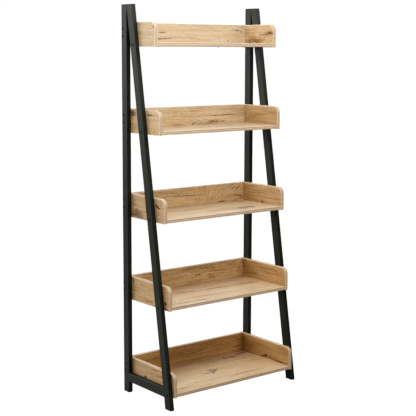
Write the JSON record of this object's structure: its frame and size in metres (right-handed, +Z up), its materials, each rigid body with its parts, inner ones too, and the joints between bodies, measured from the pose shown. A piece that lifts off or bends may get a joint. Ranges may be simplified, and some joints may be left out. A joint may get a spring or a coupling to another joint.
{
  "type": "ladder shelf",
  "caption": "Free-standing ladder shelf: black steel A-frame sides with leaning front legs carry open oak-decor trays that get deeper towards the floor.",
  "frame": {"origin": "on the floor, in the middle of the width and of the depth", "axes": "+X to the right as seen from the front, +Y to the back, +Z up"},
  "size_m": [0.725, 0.356, 1.72],
  "materials": {
    "black_steel": "matte black powder coat on steel tube",
    "black_plastic": "moulded, matte",
    "oak_decor": "satin wild-oak decor on chipboard",
    "edge_band": "pale oak edge band, satin",
    "blackened_screw": "blackened steel, satin",
    "beech": "plain turned beech"
  },
  "bodies": {
    "root": {"dowels": "beech", "left_frame_screws": "blackened_screw", "left_front_cap": "black_plastic", "left_front_foot": "black_plastic", "left_front_leg": "black_steel", "left_rear_cap": "black_plastic", "left_rear_foot": "black_plastic", "left_rear_leg": "black_steel", "left_rung": "black_steel", "right_frame_screws": "blackened_screw", "right_front_cap": "black_plastic", "right_front_foot": "black_plastic", "right_front_leg": "black_steel", "right_rear_cap": "black_plastic", "right_rear_foot": "black_plastic", "right_rear_leg": "black_steel", "right_rung": "black_steel", "tray_1_back_band": "edge_band", "tray_1_back_panel": "oak_decor", "tray_1_bottom_band": "edge_band", "tray_1_bottom_panel": "oak_decor", "tray_1_left_band": "edge_band", "tray_1_left_side": "oak_decor", "tray_1_right_band": "edge_band", "tray_1_right_side": "oak_decor", "tray_2_back_band": "edge_band", "tray_2_back_panel": "oak_decor", "tray_2_bottom_band": "edge_band", "tray_2_bottom_panel": "oak_decor", "tray_2_left_band": "edge_band", "tray_2_left_side": "oak_decor", "tray_2_right_band": "edge_band", "tray_2_right_side": "oak_decor", "tray_3_back_band": "edge_band", "tray_3_back_panel": "oak_decor", "tray_3_bottom_band": "edge_band", "tray_3_bottom_panel": "oak_decor", "tray_3_left_band": "edge_band", "tray_3_left_side": "oak_decor", "tray_3_right_band": "edge_band", "tray_3_right_side": "oak_decor", "tray_4_back_band": "edge_band", "tray_4_back_panel": "oak_decor", "tray_4_bottom_band": "edge_band", "tray_4_bottom_panel": "oak_decor", "tray_4_left_band": "edge_band", "tray_4_left_side": "oak_decor", "tray_4_right_band": "edge_band", "tray_4_right_side": "oak_decor", "tray_5_back_band": "edge_band", "tray_5_back_panel": "oak_decor", "tray_5_bottom_band": "edge_band", "tray_5_bottom_panel": "oak_decor", "tray_5_left_band": "edge_band", "tray_5_left_side": "oak_decor", "tray_5_right_band": "edge_band", "tray_5_right_side": "oak_decor", "under_screws": "blackened_screw"}
  },
  "joints": []
}
